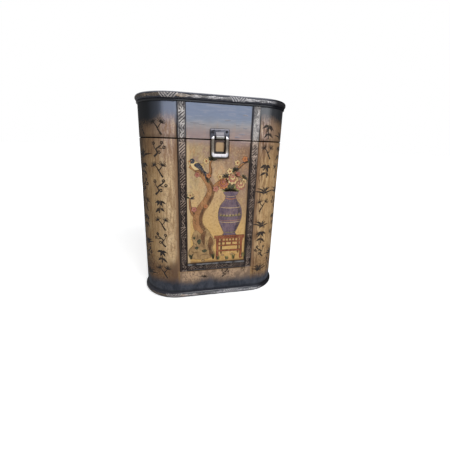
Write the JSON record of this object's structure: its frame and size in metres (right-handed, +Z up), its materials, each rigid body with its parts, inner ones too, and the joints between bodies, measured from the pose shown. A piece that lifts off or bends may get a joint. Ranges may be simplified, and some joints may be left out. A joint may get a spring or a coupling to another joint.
{
  "type": "decorative wooden box",
  "caption": "Upright lacquered wooden box with half-round ends, a lid hinged at the back, carved strips round a painted front panel and a swinging bail latch.",
  "frame": {"origin": "centre of the flat underside of the base board, on the surface that the box stands on", "axes": "+Z up, -Y out of the front with the picture and latch, +X to the right seen from the front"},
  "size_m": [0.2476, 0.1275, 0.3295],
  "materials": {
    "aged_lacquer": "aged gold-brown lacquer, semi-gloss, dark at the top and foot",
    "dark_rim": "near-black lacquer rubbed through to gold on the rounded edges",
    "inner_floor": "plain dark brown lacquer",
    "carved_strip": "carved, dark brown with rubbed pale gold on the relief",
    "picture_paint": "painted thin board under semi-gloss lacquer",
    "hinge_metal": "dull antique bronze plating",
    "latch_metal": "dark gunmetal plating, worn on the edges",
    "bail_metal": "worn antique nickel",
    "pin_steel": "dull steel"
  },
  "bodies": {
    "body": {"base_board": "dark_rim", "floor_panel": "inner_floor", "front_board": "aged_lacquer", "back_board": "aged_lacquer", "left_end_wall": "aged_lacquer", "right_end_wall": "aged_lacquer", "left_strip": "carved_strip", "right_strip": "carved_strip", "bottom_strip": "carved_strip", "picture_panel": "picture_paint", "hinge_left_body_leaf": "hinge_metal", "hinge_right_body_leaf": "hinge_metal", "hinge_left_pin": "pin_steel", "hinge_right_pin": "pin_steel", "body_hinge_screws": "pin_steel", "catch_plate": "latch_metal", "catch_pins": "pin_steel"},
    "lid": {"lid_top_board": "dark_rim", "lid_cove": "dark_rim", "lid_front_board": "aged_lacquer", "lid_back_board": "aged_lacquer", "lid_left_end_wall": "aged_lacquer", "lid_right_end_wall": "aged_lacquer", "lid_left_strip": "carved_strip", "lid_right_strip": "carved_strip", "lid_picture_panel": "picture_paint", "hinge_left_lid_leaf": "hinge_metal", "hinge_right_lid_leaf": "hinge_metal", "lid_hinge_screws": "pin_steel", "latch_plate": "latch_metal", "latch_screws": "pin_steel"},
    "bail": {"latch_bail": "bail_metal"}
  },
  "joints": [
    {"name": "lid_hinge", "type": "hinge", "parent": "body", "child": "lid", "pos_m": [0, 0.0595, 0.2675], "axis": [-1, 0, 0], "range_deg": [0, 180]},
    {"name": "bail_swing", "type": "hinge", "parent": "lid", "child": "bail", "pos_m": [0, -0.0614, 0.2712], "axis": [-1, 0, 0], "range_deg": [0, 170]}
  ]
}
